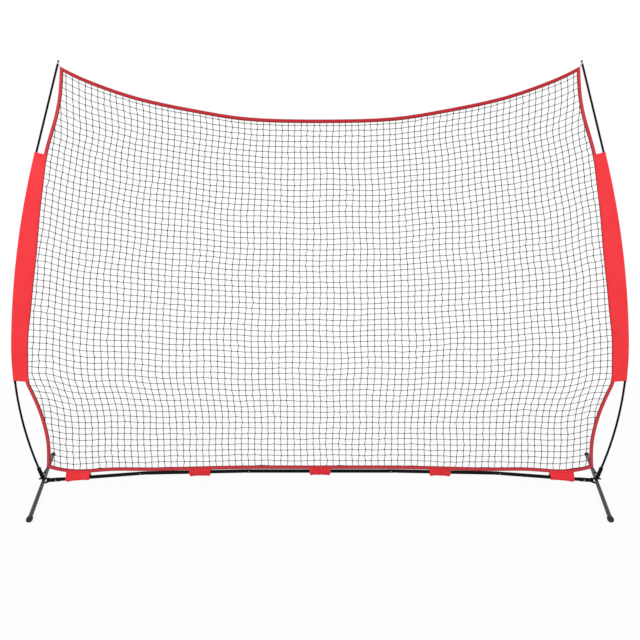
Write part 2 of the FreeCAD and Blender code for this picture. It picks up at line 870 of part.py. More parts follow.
# Bottom tabs: straps folded round the base bar and sewn to both faces of the bottom binding.
def tab_outline(radius, plate, lowest_plate, top):
    low = Vector(0, 0, -tab_slack)
    front, back = FRONT * radius, BACK * radius
    stadium = flat_face([
        Part.Arc(front, UP * radius, back).toShape(),
        Part.Arc(low + front, low - UP * radius, low + back).toShape(),
        Part.makeLine(front, low + front),
        Part.makeLine(back, low + back),
    ])
    upper = [(radius, 0), (plate, lowest_plate), (plate, top)]
    upper += [(-y, z) for y, z in reversed(upper)] + [(radius, 0)]
    plates = Part.Face(Part.makePolygon([Vector(0, y, z) for y, z in upper]))
    return stadium, plates


def bottom_edge_height(x):
    edge = outer_curves["bottom"]
    place = crossing(edge.FirstParameter, edge.LastParameter, lambda at: edge.value(at).x > x)
    return edge.value(place).z


def tab(position, width, overlap):
    tape_gap = bottom_edge_height(position) - base_axis_height(position)
    top = tape_gap + overlap
    inner_radius = base_radius + tab_bar_clearance
    half = width / 2
    inner_plate = tape_half + sewing_clearance
    outer_parts = tab_outline(inner_radius + tab_fabric, inner_plate + tab_fabric, tape_gap, top)
    inner_parts = tab_outline(inner_radius, inner_plate, tape_gap, top + overshoot)
    outer, inner = [low.extrude(Vector(width, 0, 0)).fuse(high.extrude(Vector(width, 0, 0)))
                    for low, high in (outer_parts, inner_parts)]
    strap = outer.removeSplitter().cut(inner)
    strap.translate(Vector(-half, 0, 0))
    slope = 0.0
    if position > outer_joint_half_span:
        slope = outer_tube_rise
    elif position > inner_joint_half_span:
        slope = inner_tube_rise
    strap.rotate(Vector(0, 0, 0), BACK, slope)
    strap.translate(Vector(position, 0, base_axis_height(position)))
    return strap


save_pair("end_tab", tab(end_tab_position, end_tab_width, end_tab_overlap))
save_pair("inner_tab", tab(inner_tab_position, inner_tab_width, inner_tab_overlap))
save("middle_tab", tab(0.0, inner_tab_width, inner_tab_overlap))


# Elastic loops: closed rings of cord, round the pole tip or the socket's peg at one end and through
# the hole in the net's corner at the other.
# The ring lies at a slant to the post that it goes round, so it is wider than a square one would be.
def elastic_loop(anchor, post_axis, post_diameter, hole, cord):
    along = unit(hole - anchor)
    slant = math.sin(along.getAngle(post_axis))
    radius = (post_diameter / 2 + cord / 2 + loop_clearance) / slant
    far_centre = hole - along * radius
    front, back = FRONT * radius, BACK * radius
    corners = [anchor + front, far_centre + front, far_centre + back, anchor + back]
    path = Part.Wire([
        Part.makeLine(corners[0], corners[1]),
        Part.Arc(corners[1], far_centre + along * radius, corners[2]).toShape(),
        Part.makeLine(corners[2], corners[3]),
        Part.Arc(corners[3], anchor - along * radius, corners[0]).toShape(),
    ])
    run = anchor.distanceToPoint(far_centre)
    section = Part.Face(Part.Wire(Part.makeCircle(cord / 2, corners[0], along)))
    runs = [section.extrude(along * run), section.translated(BACK * (2 * radius)).extrude(along * run)]
    turn_axis = along.cross(BACK)
    near = section.revolve(anchor, turn_axis * -1, 180)
    far_section = section.translated(along * run)
    far = far_section.revolve(far_centre, turn_axis, 180)
    ring = runs[0].fuse([near, far, runs[1]]).removeSplitter()
    print("elastic loop length", round(path.Length, 1), "bend radius", round(radius, 2),
          "volume ratio", ring.Volume / (math.pi * (cord / 2) ** 2 * path.Length))
    return ring


tip_anchor = pole_top + top_direction * (tip_base + tip_neck_length / 2)
peg_anchor = peg_start + Vector(-peg_length / 2, 0, 0)
top_loop = elastic_loop(tip_anchor, top_direction, tip_neck_diameter, top_hole, top_loop_cord)
bottom_loop = elastic_loop(peg_anchor, Vector(1, 0, 0), peg_diameter, bottom_hole, bottom_loop_cord)
save_both_sides_in_one("top_corner_loops", top_loop)
save_both_sides_in_one("bottom_corner_loops", bottom_loop)

print("pole foot to tip", round(pole_end - pole_start, 1), "tip at", pole_top)
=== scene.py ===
import math

import bmesh
import bpy
import numpy as np
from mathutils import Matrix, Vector, noise
from mathutils.bvhtree import BVHTree


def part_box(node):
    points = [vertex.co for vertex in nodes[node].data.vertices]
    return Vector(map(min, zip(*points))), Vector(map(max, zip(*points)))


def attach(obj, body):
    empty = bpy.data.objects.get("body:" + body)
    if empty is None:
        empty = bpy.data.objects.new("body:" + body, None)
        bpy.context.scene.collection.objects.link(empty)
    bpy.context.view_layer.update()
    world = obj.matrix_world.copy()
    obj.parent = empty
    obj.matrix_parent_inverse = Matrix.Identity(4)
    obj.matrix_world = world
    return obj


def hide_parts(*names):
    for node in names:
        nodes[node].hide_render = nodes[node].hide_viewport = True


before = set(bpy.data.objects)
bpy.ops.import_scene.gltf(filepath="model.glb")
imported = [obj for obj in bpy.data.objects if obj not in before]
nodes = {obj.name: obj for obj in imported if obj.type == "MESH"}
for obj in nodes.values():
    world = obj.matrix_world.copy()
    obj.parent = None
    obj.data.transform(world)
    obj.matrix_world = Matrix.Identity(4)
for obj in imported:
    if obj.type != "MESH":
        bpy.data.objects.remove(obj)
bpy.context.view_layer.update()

# The view: a level camera with a moderately wide lens, close in front of the middle of the net. It
# stands as high as the line at which the near and far halves of the foot bars look equally long.
camera_distance = 2.81
camera_height = 1.072
camera_data = bpy.data.cameras.new("camera")
camera_data.lens = 24
camera_data.sensor_width = 36
camera = bpy.data.objects.new("camera", camera_data)
camera.location = (0, -camera_distance, camera_height)
camera.rotation_euler = (math.radians(90), 0, 0)
bpy.context.scene.collection.objects.link(camera)
bpy.context.scene.camera = camera
bpy.context.scene.view_settings.view_transform = "Standard"

# The floor and the air round it are plain white, as in a catalogue picture. The floor is a matt
# white sheet that is mostly lit from within for the camera, so that it stays white and keeps a faint
# shadow under the feet. It shines fully far from the object, so that it has no edge at the horizon.
floor_half = 40
near_shine = 0.94
fading_from = 2.5
fading_to = 9.0


def linear(code):
    """The linear colour of a sRGB hex code."""
    parts = [int(code[i:i + 2], 16) / 255 for i in (1, 3, 5)]
    return [p / 12.92 if p <= 0.04045 else ((p + 0.055) / 1.055) ** 2.4 for p in parts] + [1]


def add(tree, kind, settings):
    """Adds a node. A setting is an input's name or number, or else a property, and a socket is linked."""
    node = tree.nodes.new(kind)
    for name, value in settings.items():
        known = isinstance(name, int) or name in node.inputs
        if not known:
            setattr(node, name, value)
        elif isinstance(value, bpy.types.NodeSocket):
            tree.links.new(value, node.inputs[name])
        else:
            node.inputs[name].default_value = value
    return node


def seen_plainly(tree):
    """Whether a ray comes from the camera, straight or over a glossy or clear thing, as 1 or 0."""
    ray = add(tree, "ShaderNodeLightPath", {})
    seen = add(tree, "ShaderNodeMath", {"operation": "MAXIMUM", 0: ray.outputs["Is Camera Ray"],
                                        1: ray.outputs["Is Glossy Ray"]})
    seen = add(tree, "ShaderNodeMath", {"operation": "MAXIMUM", 0: seen.outputs[0],
                                        1: ray.outputs["Is Transmission Ray"]})
    return seen.outputs[0]


floor_mesh = bpy.data.meshes.new("floor")
floor_corners = [(-floor_half, -floor_half, 0), (floor_half, -floor_half, 0),
                 (floor_half, floor_half, 0), (-floor_half, floor_half, 0)]
floor_mesh.from_pydata(floor_corners, [], [(0, 1, 2, 3)])
floor = bpy.data.objects.new("floor", floor_mesh)
bpy.context.scene.collection.objects.link(floor)
floor_paper = bpy.data.materials.new("matt_white_paper")
floor_paper.use_nodes = True
tree = floor_paper.node_tree
tree.nodes.clear()
paper = add(tree, "ShaderNodeBsdfDiffuse", {"Color": linear("#EDEDED")})
white = add(tree, "ShaderNodeEmission", {"Color": (1, 1, 1, 1), "Strength": 1})
spot = add(tree, "ShaderNodeNewGeometry", {})
away = add(tree, "ShaderNodeVectorMath", {"operation": "LENGTH", 0: spot.outputs["Position"]})
shine = add(tree, "ShaderNodeMapRange", {"Value": away.outputs["Value"], "From Min": fading_from,
                                         "From Max": fading_to, "To Min": near_shine, "To Max": 1.0})
bright = add(tree, "ShaderNodeMixShader", {0: shine.outputs[0], 1: paper.outputs[0], 2: white.outputs[0]})
both = add(tree, "ShaderNodeMixShader", {0: seen_plainly(tree), 1: paper.outputs[0], 2: bright.outputs[0]})
add(tree, "ShaderNodeOutputMaterial", {"Surface": both.outputs[0]})
floor_mesh.materials.append(floor_paper)

# Soft even light: the white air, a wide lamp high in front on the left and a weaker one on the right.
world = bpy.data.worlds.new("white_air")
bpy.context.scene.world = world
world.use_nodes = True
tree = world.node_tree
tree.nodes.clear()
air_light = 0.62
strength = add(tree, "ShaderNodeMapRange", {"Value": seen_plainly(tree), "To Min": air_light, "To Max": 1.0})
air = add(tree, "ShaderNodeBackground", {"Color": (1, 1, 1, 1), "Strength": strength.outputs[0]})
add(tree, "ShaderNodeOutputWorld", {"Surface": air.outputs[0]})

lamp_target = Vector((0, 0, 1.2))
for name, place, watts, size in [("lamp_left", (-3.2, -5.0, 4.2), 130, 3.0),
                                 ("lamp_right", (3.8, -4.2, 3.0), 55, 2.5),
                                 ("lamp_behind", (0.5, 4.5, 4.5), 45, 3.0)]:
    lamp_data = bpy.data.lights.new(name, "AREA")
    lamp_data.energy = watts
    lamp_data.size = size
    lamp = bpy.data.objects.new(name, lamp_data)
    lamp.location = place
    aim = lamp_target - lamp.location
    lamp.rotation_euler = aim.to_track_quat("-Z", "Y").to_euler()
    bpy.context.scene.collection.objects.link(lamp)


# Ground bar: five lengths of round steel tube with a black powder coat. The coat is baked on as a
# powder, so it is a satin film with a faint orange-peel ripple over fine grain.
def repeats(millimetres):
    """How many times a pattern of that size fits in a metre."""
    return 1000 / millimetres


def new_finish(name, settings):
    """A new material: its node tree, its shader, and the place on the object as a socket."""
    finish = bpy.data.materials.new(name)
    finish.use_nodes = True
    shader = finish.node_tree.nodes["Principled BSDF"]
    for socket, value in settings.items():
        shader.inputs[socket].default_value = value
    place = add(finish.node_tree, "ShaderNodeTexCoord", {}).outputs["Object"]
    return finish, finish.node_tree, shader, place


def cloudy(tree, place, millimetres, detail):
    """A value that wanders between 0 and 1, in spots of that size."""
    return add(tree, "ShaderNodeTexNoise", {"Vector": place, "Scale": repeats(millimetres),
                                            "Detail": detail}).outputs[0]


def colour(tree, shader, share, first, second):
    """Colours a finish between two tones, by a value from 0 to 1."""
    tint = add(tree, "ShaderNodeMix", {"data_type": "RGBA", 0: share, 6: first, 7: second})
    tree.links.new(tint.outputs[2], shader.inputs["Base Color"])
    return tint.outputs[2]


def emboss(tree, shader, height, strength, depth):
    """Gives a finish a fine relief that rises with a value."""
    relief = add(tree, "ShaderNodeBump", {"Height": height, "Strength": strength, "Distance": depth})
    tree.links.new(relief.outputs[0], shader.inputs["Normal"])


def dress(finish, names):
    """Gives the carried nodes of those names the finish."""
    for name in names:
        for holder in nodes[name].material_slots:
            holder.material = finish


powder_coat, tree, shader, place = new_finish("black_powder_coat", {
    "Roughness": 0.55, "Specular IOR Level": 0.08})
colour(tree, shader, cloudy(tree, place, 60, 2), linear("#050506"), linear("#0B0B0C"))
emboss(tree, shader, cloudy(tree, place, 2.2, 3), 0.25, 0.0002)
sides = ("left", "right")
dress(powder_coat, ["base_tube_middle"]
      + [part + side for part in ("base_tube_outer_", "base_tube_inner_") for side in sides])

# Foot bars: the same tube with a smoother, glossier coat that picks up a grey sheen from the floor,
# closed by moulded rubber caps with a fine matt grain.
foot_coat, tree, shader, place = new_finish("satin_foot_coat", {
    "Roughness": 0.36, "Specular IOR Level": 0.18})
colour(tree, shader, cloudy(tree, place, 90, 2), linear("#101113"), linear("#191A1C"))
emboss(tree, shader, cloudy(tree, place, 3.0, 2), 0.2, 0.0002)
dress(foot_coat, ["foot_bar_" + side for side in sides])

rubber, tree, shader, place = new_finish("moulded_rubber", {"Roughness": 0.78, "Specular IOR Level": 0.4})
grain = cloudy(tree, place, 1.4, 4)
colour(tree, shader, grain, linear("#202021"), linear("#2E2E30"))
emboss(tree, shader, grain, 0.5, 0.0003)
dress(rubber, ["foot_cap_" + end + side for end in ("front_", "rear_") for side in sides])

# Corner brackets and pole sockets: bent strip and short tubes, welded, then coated like the bar.
dress(powder_coat,
      [part + side for part in ("corner_bracket_", "pole_socket_") for side in sides])


# A weld bead runs round the foot of each socket and of each stub: small overlapping puddles of
# steel under the same coat.
def new_piece(name, points, faces, finish, slot):
    """A closed mesh piece with outward faces, smooth shading and one finish, riding on the frame."""
    mesh = bpy.data.meshes.new(name)
    mesh.from_pydata(points, [], faces)
    shape = bmesh.new()
    shape.from_mesh(mesh)
    bmesh.ops.recalc_face_normals(shape, faces=shape.faces)
    shape.to_mesh(mesh)
    shape.free()
    mesh.shade_smooth()
    mesh.materials.append(finish)
    piece = bpy.data.objects.new(name, mesh)
    bpy.context.scene.collection.objects.link(piece)
    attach(piece, "frame")
    return piece


def ring_bead(centre, across, beside, lift, radius, puddles):
    """Points and faces of a rippled closed ring round an oval of half axes across and beside."""
    turns, sides_round = puddles * 4, 8
    points = []
    for i in range(turns):
        angle = math.tau * i / turns
        outward = (across * math.cos(angle) + beside * math.sin(angle)).normalized()
        middle = centre + across * math.cos(angle) + beside * math.sin(angle)
        swell = radius * (1 + 0.16 * math.sin(angle * puddles))
        for k in range(sides_round):
            turn = math.tau * k / sides_round
            points.append(middle + outward * swell * math.cos(turn) + lift * swell * math.sin(turn))
    faces = []
    for i in range(turns):
        following = (i + 1) % turns
        for k in range(sides_round):
            beyond = (k + 1) % sides_round
            faces.append((i * sides_round + k, i * sides_round + beyond,
                          following * sides_round + beyond, following * sides_round + k))
    return points, faces


bead_radius = 0.0016
stub_radius = 0.0125
inboard_of_web = 1.6
for side, sign in (("left", -1), ("right", 1)):
    socket = nodes["pole_socket_" + side].data
    plate_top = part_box("pole_socket_" + side)[0].z
    foot = np.array([v.co for v in socket.vertices if v.co.z < plate_top + 0.0001])
    low, high = foot.min(axis=0), foot.max(axis=0)
    middle = Vector((low + high) / 2)
    points, faces = ring_bead(middle, Vector(((high[0] - low[0]) / 2, 0, 0)),
                              Vector((0, (high[1] - low[1]) / 2, 0)), Vector((0, 0, 1)), bead_radius, 22)
    new_piece("socket_weld_" + side, points, faces, powder_coat, "powder_coated_steel")
    bracket = BVHTree.FromObject(nodes["corner_bracket_" + side], bpy.context.evaluated_depsgraph_get())
    stub_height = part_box("foot_spacer_" + side)
    beside_stub = Vector((sign * inboard_of_web, stub_radius + 0.001,
                          (stub_height[0].z + stub_height[1].z) / 2))
    web = bracket.ray_cast(beside_stub, Vector((sign, 0, 0)))[0]
    points, faces = ring_bead(Vector((web.x, 0, web.z)), Vector((0, stub_radius, 0)),
                              Vector((0, 0, stub_radius)), Vector((sign, 0, 0)), bead_radius, 20)
    new_piece("stub_weld_" + side, points, faces, powder_coat, "powder_coated_steel")

# Swivel bolts and lock nuts: steel with a bright zinc plate, which is bluish, clean and faintly
# mottled. The spring buttons are plated alike.
zinc, tree, shader, place = new_finish("bright_zinc_plate", {"Metallic": 1.0, "Roughness": 0.3})
mottle = add(tree, "ShaderNodeTexVoronoi", {"Vector": place, "Scale": repeats(2.5)})
colour(tree, shader, mottle.outputs[0], linear("#C3C7CB"), linear("#AEB2B8"))
places = ("hub_", "outer_", "inner_")
dress(zinc, ["swivel_bolts", "swivel_lock_nuts"]
      + ["snap_button_" + spot + side for spot in places for side in sides])

# Leaf springs of the buttons: blue-grey hardened strip, bright, with a fine uneven gloss.
strip, tree, shader, place = new_finish("hardened_spring_strip", {"Metallic": 1.0})
patches = cloudy(tree, place, 1.0, 2)
colour(tree, shader, patches, linear("#8A9099"), linear("#A2A7AE"))
gloss = add(tree, "ShaderNodeMapRange", {"Value": patches, "To Min": 0.28, "To Max": 0.42})
tree.links.new(gloss.outputs[0], shader.inputs["Roughness"])
dress(strip, ["snap_spring_" + spot + side for spot in places for side in sides])

# Washers, spacers, socket bushes and pole tips: black nylon, moulded, with a soft satin surface.
nylon, tree, shader, place = new_finish("moulded_nylon", {"Roughness": 0.46, "IOR": 1.53})
grain = cloudy(tree, place, 0.9, 3)
colour(tree, shader, grain, linear("#111112"), linear("#1A1A1C"))
emboss(tree, shader, grain, 0.3, 0.0002)
dress(nylon, ["swivel_washers", "socket_bushes"]
      + [part + side for part in ("foot_spacer_", "pole_tip_") for side in sides])

# Poles: glass fibre tube drawn through a die, with a black gel coat. The coat is satin, and the
# fibres under it leave fine streaks along the pole. The ferrules are zinc plated steel tube, blackened,
# so the part of one that stands out of the sleeve looks as dark as the pole.
gel_coat, tree, shader, place = new_finish("black_fibreglass", {
    "Roughness": 0.35, "IOR": 1.55, "Specular IOR Level": 0.06})
drawn = add(tree, "ShaderNodeMapping", {"Vector": place, "Scale": (repeats(0.7), repeats(0.7), repeats(40))})
streak = add(tree, "ShaderNodeTexNoise", {"Vector": drawn.outputs[0], "Scale": 1.0, "Detail": 3})
colour(tree, shader, streak.outputs[0], linear("#040404"), linear("#0A0A0A"))
emboss(tree, shader, streak.outputs[0], 0.2, 0.0001)
pole_nodes = {side: ["pole_section_%d_%s" % (i, side) for i in (1, 2, 3, 4)] for side in sides}
dress(gel_coat, pole_nodes["left"] + pole_nodes["right"])
black_zinc, tree, shader, place = new_finish("black_zinc_plate", {"Metallic": 1.0, "Roughness": 0.4})
mottle = add(tree, "ShaderNodeTexVoronoi", {"Vector": place, "Scale": repeats(2.5)})
colour(tree, shader, mottle.outputs[0], linear("#1A1B1D"), linear("#242629"))
dress(black_zinc, ["pole_ferrules"])


# Binding: polyester tape folded over each edge of the net and sewn through, which puckers it along
# its open edge. Its weave is drawn as uneven threads, 2 mm wide, coarser than real ones so that they
# show.

# Corners of the carried mesh that are less than 0.05 mm apart count as one.
keys_per_metre = 20000


def tape_contour(name):
    """The four corners and the long edges of a flat band, read off its front face as closed points."""
    mesh = nodes[name].data
    front = min(v.co.y for v in mesh.vertices)
    spots = {}
    count = {}
    for face in mesh.polygons:
        if all(mesh.vertices[v].co.y < front + 0.0001 for v in face.vertices):
            keys = []
            for v in face.vertices:
                co = mesh.vertices[v].co
                key = (round(co.x * keys_per_metre), round(co.z * keys_per_metre))
                spots[key] = np.array((co.x, co.z))
                keys.append(key)
            for a, b in zip(keys, keys[1:] + keys[:1]):
                count[frozenset((a, b))] = count.get(frozenset((a, b)), 0) + 1
    beside = {}
    for edge, uses in count.items():
        if uses == 1 and len(edge) == 2:
            a, b = edge
            beside.setdefault(a, []).append(b)
            beside.setdefault(b, []).append(a)
    loops = []
    left = set(beside)
    while left:
        start = left.pop()
        loop = [start]
        step = beside[start][0]
        while step in left:
            left.discard(step)
            loop.append(step)
            ahead = [k for k in beside[step] if k in left]
            if not ahead:
                break
            step = ahead[0]
        loops.append(np.array([spots[k] for k in loop]))
    return max(loops, key=len)


# A corner of a band bends by at least this many radians, and the two corners of one end lie within
# this many metres of each other.
least_bend = 0.4
end_reach = 0.06


def long_edges(name):
    """The outer and the inner long edge of a band, each a row of (x, z) points along it. Its ends are
    mitres bitten by a hole, so an inner corner is the bend farthest from the sharp outer one."""
    loop = tape_contour(name)
    ahead = np.roll(loop, -1, axis=0) - loop
    behind = loop - np.roll(loop, 1, axis=0)
    turn = np.abs(np.arctan2(behind[:, 0] * ahead[:, 1] - behind[:, 1] * ahead[:, 0],
                             (behind * ahead).sum(axis=1)))
    sharp = np.argsort(turn)[-2:]
    bends = np.flatnonzero(turn > least_bend)
    blunt = []
    for corner in sharp:
        away = np.linalg.norm(loop[bends] - loop[corner], axis=1)
        blunt.append(bends[np.argmax(np.where(away < end_reach, away, 0))])
    corners = np.sort([*sharp, *blunt])
    chains = []
    for i in range(4):
        start, stop = corners[i], corners[(i + 1) % 4]
        if stop <= start:
            stop += len(loop)
        chains.append(loop[np.arange(start, stop + 1) % len(loop)])
    lengths = [np.linalg.norm(np.diff(c, axis=0), axis=1).sum() for c in chains]
    first, second = sorted(range(4), key=lambda i: lengths[i])[-2:]
    pair = [chains[first], chains[second]]
    net_middle = np.array((0, 1.3))
    pair.sort(key=lambda c: -np.linalg.norm(c - net_middle, axis=1).mean())
    if (pair[0][0] - pair[0][-1]) @ (pair[1][0] - pair[1][-1]) < 0:
        pair[1] = pair[1][::-1]
    return pair


def spread(line, count):
    """Points evenly spaced along a row of points."""
    steps = np.linalg.norm(np.diff(line, axis=0), axis=1)
    along = np.concatenate([[0], np.cumsum(steps)])
    wanted = np.linspace(0, along[-1], count)
    return np.stack([np.interp(wanted, along, line[:, k]) for k in range(line.shape[1])], axis=1)


def skin(rings):
    """Points and faces of a closed skin over rings of equal count, with both ends capped."""
    count = len(rings[0])
    points = [tuple(p) for ring in rings for p in ring]
    faces = []
    for r in range(len(rings) - 1):
        for k in range(count):
            a, b = r * count + k, r * count + (k + 1) % count
            faces.append((a, b, b + count, a + count))
    last = (len(rings) - 1) * count
    faces.append(tuple(range(count)))
    faces.append(tuple(range(last, last + count)))
    return points, faces


def woven(name, roughness, dark, pale, grain_pitch, cloud_pitch, edge_shade_tone=None):
    """A cloth finish: uneven threads, clouded between two tones, and with painted shade at marked
    edges. The pitches of the threads and the clouds are in millimetres."""
    finish, tree, shader, place = new_finish(name, {
        "Roughness": roughness, "Specular IOR Level": 0.25, "Sheen Weight": 0.08, "Sheen Roughness": 0.4})
    tint = colour(tree, shader, cloudy(tree, place, cloud_pitch, 2), linear(dark), linear(pale))
    # Painted shade: the cloth is darkened toward a marked edge.
    if edge_shade_tone:
        edge = add(tree, "ShaderNodeAttribute", {"attribute_name": "edge"})
        colour(tree, shader, edge.outputs["Fac"], tint, linear(edge_shade_tone))
    emboss(tree, shader, cloudy(tree, place, grain_pitch, 2), 0.5, 0.0004)
    return finish


# The tape along the top has a darker tone of its own, which is painted shade: the tape is one
# cloth. All edges are darker still, with painted shade where the folded tape turns from the light.
# The thread is darker than the tape.
shaded_top_tape = woven("red_polyester_tape_painted_shade", 0.7, "#BA1820", "#C8262F", 2.0, 120, "#5A0A10")
pale_tape = woven("pale_red_polyester_tape", 0.7, "#C8303A", "#D4404A", 2.0, 120, "#7A1218")
red_thread = woven("red_sewing_thread", 0.5, "#8C0E16", "#A81C26", 0.6, 40)

tape_half_depth = 0.0027
tape_cloth = 0.0008
pucker_pitch = 0.029
pucker_depth = 0.0005
tape_step = 0.007
# How far the painted shade reaches in from each edge, as a share of the tape's width.
edge_shade = 0.16
tape_fold = [(1.0, 1.0), (0.9, 0.98), (0.72, 0.96), (0.4, 1.0), (0.14, 0.86), (0.03, 0.5), (0.0, 0.0)]
edges = {name: long_edges(name)
         for name in ("top_binding", "bottom_binding", "side_binding_left", "side_binding_right")}


def tape_depth(along, share, depth):
    """How far back the tape's cloth lies, with its puckers."""
    return depth + pucker_depth * share * math.sin(math.tau * along / pucker_pitch + depth / tape_half_depth)


def tape_ring(outer, inner, along):
    """One cross-section of the folded tape: round at the fold, open toward the net."""
    front = [(share, -depth) for share, depth in tape_fold]
    outside = front + [(share, -depth) for share, depth in reversed(front[:-1])]
    least = tape_cloth / np.linalg.norm(inner - outer)
    ring = []
    for layer, start, points in ((tape_half_depth, 0.0, outside),
                                 (tape_half_depth - tape_cloth, least, outside[::-1])):
        for share, depth in points:
            x, z = outer + (inner - outer) * max(share, start)
            ring.append((x, tape_depth(along, share, depth * layer), z))
    return ring


stitch_pitch = 0.005
stitch_length = 0.0038
thread_radius = 0.0004
# The tape's stitches are seated at this share of its half depth.
stitch_seat = 0.97


def sew(name, rows):
    """Rows of stitches: grains of thread that dip into the cloth at both ends. A row is a list of a
    place, the direction of the seam and the cloth's outward side, one for each stitch."""
    points, faces = [], []
    for middle, ahead, out in (stitch for row in rows for stitch in row):
        middle, ahead, out = Vector(middle), Vector(ahead).normalized(), Vector(out).normalized()
        beside = ahead.cross(out)
        rings = []
        for share, swell in ((-0.5, 0.4), (-0.28, 1.0), (0.28, 1.0), (0.5, 0.4)):
            centre = middle + ahead * (stitch_length * share) - out * (thread_radius * 1.6 * (1 - swell))
            rings.append([centre + (beside * math.cos(t) + out * math.sin(t)) * (thread_radius * swell)
                          for t in (0.0, math.pi / 2, math.pi, math.pi * 1.5)])
        placed, joined = skin(rings)
        base = len(points)
        points += placed
        faces += [tuple(base + i for i in face) for face in joined]
    new_piece(name, points, faces, red_thread, "binding_tape")


tape_seam = 0.76
for name, (outer, inner) in edges.items():
    length = np.linalg.norm(np.diff(outer, axis=0), axis=1).sum()
    stations = int(length / tape_step)
    fold, open_edge = spread(outer, stations), spread(inner, stations)
    rings = [tape_ring(fold[k], open_edge[k], length * k / (stations - 1)) for k in range(stations)]
    # The top tape takes the darker tone, which is painted shade.
    finish = shaded_top_tape if name == "top_binding" else pale_tape
    piece = new_piece(name + "_tape", *skin(rings), finish, "binding_tape")
    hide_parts(name)
    shares = [share for share, depth in tape_fold]
    shares = (shares + shares[-2::-1]) * 2
    # Painted shade at both edges of the tape, strongest at the edge itself.
    edge = [max(1 - share / edge_shade, (share - 1) / edge_shade + 1, 0) for share in shares] * stations
    piece.data.attributes.new("edge", "FLOAT", "POINT").data.foreach_set("value", edge)
    count = int(length / stitch_pitch)
    seam = spread(outer, count) * (1 - tape_seam) + spread(inner, count) * tape_seam
    ahead = np.gradient(seam, axis=0)
    rows = [[((x, tape_depth(length * k / (count - 1), tape_seam, face * stitch_seat * tape_half_depth), z),
              (a, 0, b), (0, face, 0)) for k, ((x, z), (a, b)) in enumerate(zip(seam, ahead))]
            for face in (-1, 1)]
    sew(name + "_stitches", rows)


# Net: a square mesh of black knotted twine. Its upright and level cords cross in knots, which are
# thicker than the runs between them, and they end inside the folded tape. The twine measures 2.0 to
# 2.3 mm in the photograph and is drawn about 3.4 mm wide, so that the net looks as dark as it does
# there.
twine, tree, shader, place = new_finish("knotted_polyester_twine", {
    "Roughness": 0.75, "Specular IOR Level": 0.2})
# At this scale the bands stand about 50 mm apart along a cord, far wider than the twist of real twine.
twist_scale = 12.5
twist = add(tree, "ShaderNodeTexWave", {"Vector": place, "Scale": twist_scale,
                                        "bands_direction": "DIAGONAL", "Distortion": 1.0})
colour(tree, shader, twist.outputs[1], linear("#060607"), linear("#111113"))
emboss(tree, shader, twist.outputs[1], 0.5, 0.0004)

upright_cords = 85
level_cords = 63
upright_radius = 0.0019
level_radius = 0.00175
knot_radius = 0.0036
knot_reach = 0.0055
pressed_within = 0.02
pressed_radius = 0.0017
# Half of the mesh's spread at a height, from the ground up: the outermost cords run out at the
# corners, and they are drawn in above the foot of each side.
mesh_spread = [(0.0, 1.789), (0.30, 1.800), (0.45, 1.812), (0.53, 1.828), (0.62, 1.862), (0.70, 1.893),
               (0.88, 1.897), (1.35, 1.866), (1.93, 1.7985), (2.31, 1.743), (2.6, 1.757), (2.9, 1.757)]
heights = np.linspace(0, 2.9, 581)
widths = np.interp(heights, *zip(*mesh_spread))
smoothing = np.ones(21) / 21
widths = np.convolve(np.pad(widths, 10, mode="edge"), smoothing, mode="valid")

top_line = edges["top_binding"][1]
top_line = top_line[np.argsort(top_line[:, 0])]
bottom_line = edges["bottom_binding"][1]
bottom_line = bottom_line[np.argsort(bottom_line[:, 0])]
corner_x = top_line[-1, 0]
slope_reach = 0.15
corner_slope = (top_line[-1, 1] - np.interp(corner_x - slope_reach, *top_line.T)) / slope_reach


def top_height(x):
    """The height of the net's top edge at a place across, carried on past its corners."""
    inside = np.interp(x, *top_line.T)
    return inside + np.maximum(np.abs(x) - corner_x, 0) * corner_slope


# The lowest level cord's place above the bottom tape and the room to spare in the height, both in
# meshes, how much the level cords crowd together near the sides, and the spread that is tried first.
first_row = 0.92
spare_rows = 0.4
crowding = 0.065
first_spread = 1.85
# Knots beside each other zigzag, whole stretches drift, and each knot is a little out of place.
zigzag_least = 0.0006
zigzag_most = 0.0026
drift = 0.004
unevenness = 0.0013
billow = 0.0022
chance = np.random.default_rng(11)
column, row = np.meshgrid(np.arange(upright_cords), np.arange(-1, level_cords + 1), indexing="ij")
across = (column - (upright_cords - 1) / 2) / ((upright_cords - 1) / 2)
up = (row + first_row) / (level_cords + spare_rows)
crowd = crowding * np.abs(across) ** 3
up = (up + crowd * up ** 2) / (1 + crowd)
mesh_x = across * first_spread
for trial in range(6):
    floor_line = np.interp(mesh_x, *bottom_line.T)
    mesh_z = floor_line + (top_height(mesh_x) - floor_line) * up
    mesh_x = across * np.interp(mesh_z, heights, widths)
zigzag = np.where((column + row) % 2, 1, -1) * chance.uniform(zigzag_least, zigzag_most, mesh_x.shape)
drift_x = drift * np.sin(mesh_z / 0.061 + 2.1 * np.sin(mesh_x / 0.37)) * np.sin(mesh_x / 0.23 + 1)
drift_z = drift * np.sin(mesh_x / 0.083 + 1.7 * np.sin(mesh_z / 0.29)) * np.sin(mesh_z / 0.31 + 2)
mesh_x = mesh_x + zigzag + drift_x + chance.normal(0, unevenness, mesh_x.shape)
mesh_z = mesh_z + drift_z + chance.normal(0, unevenness, mesh_x.shape)


def oriented(line, axis, rising):
    """The same row of points, turned so that it rises, or falls, along an axis."""
    if (line[-1, axis] > line[0, axis]) == rising:
        return line
    return line[::-1]


def tape_middle(name, share=0.42, count=500):
    """A line inside the folded tape, where the cords end."""
    outer, inner = edges[name]
    return spread(outer, count) * (1 - share) + spread(inner, count) * share


outline = np.concatenate([oriented(tape_middle("top_binding"), 0, True),
                          oriented(tape_middle("side_binding_right"), 1, False),
                          oriented(tape_middle("bottom_binding"), 0, False),
                          oriented(tape_middle("side_binding_left"), 1, True)])
outline_next = np.roll(outline, -1, axis=0)


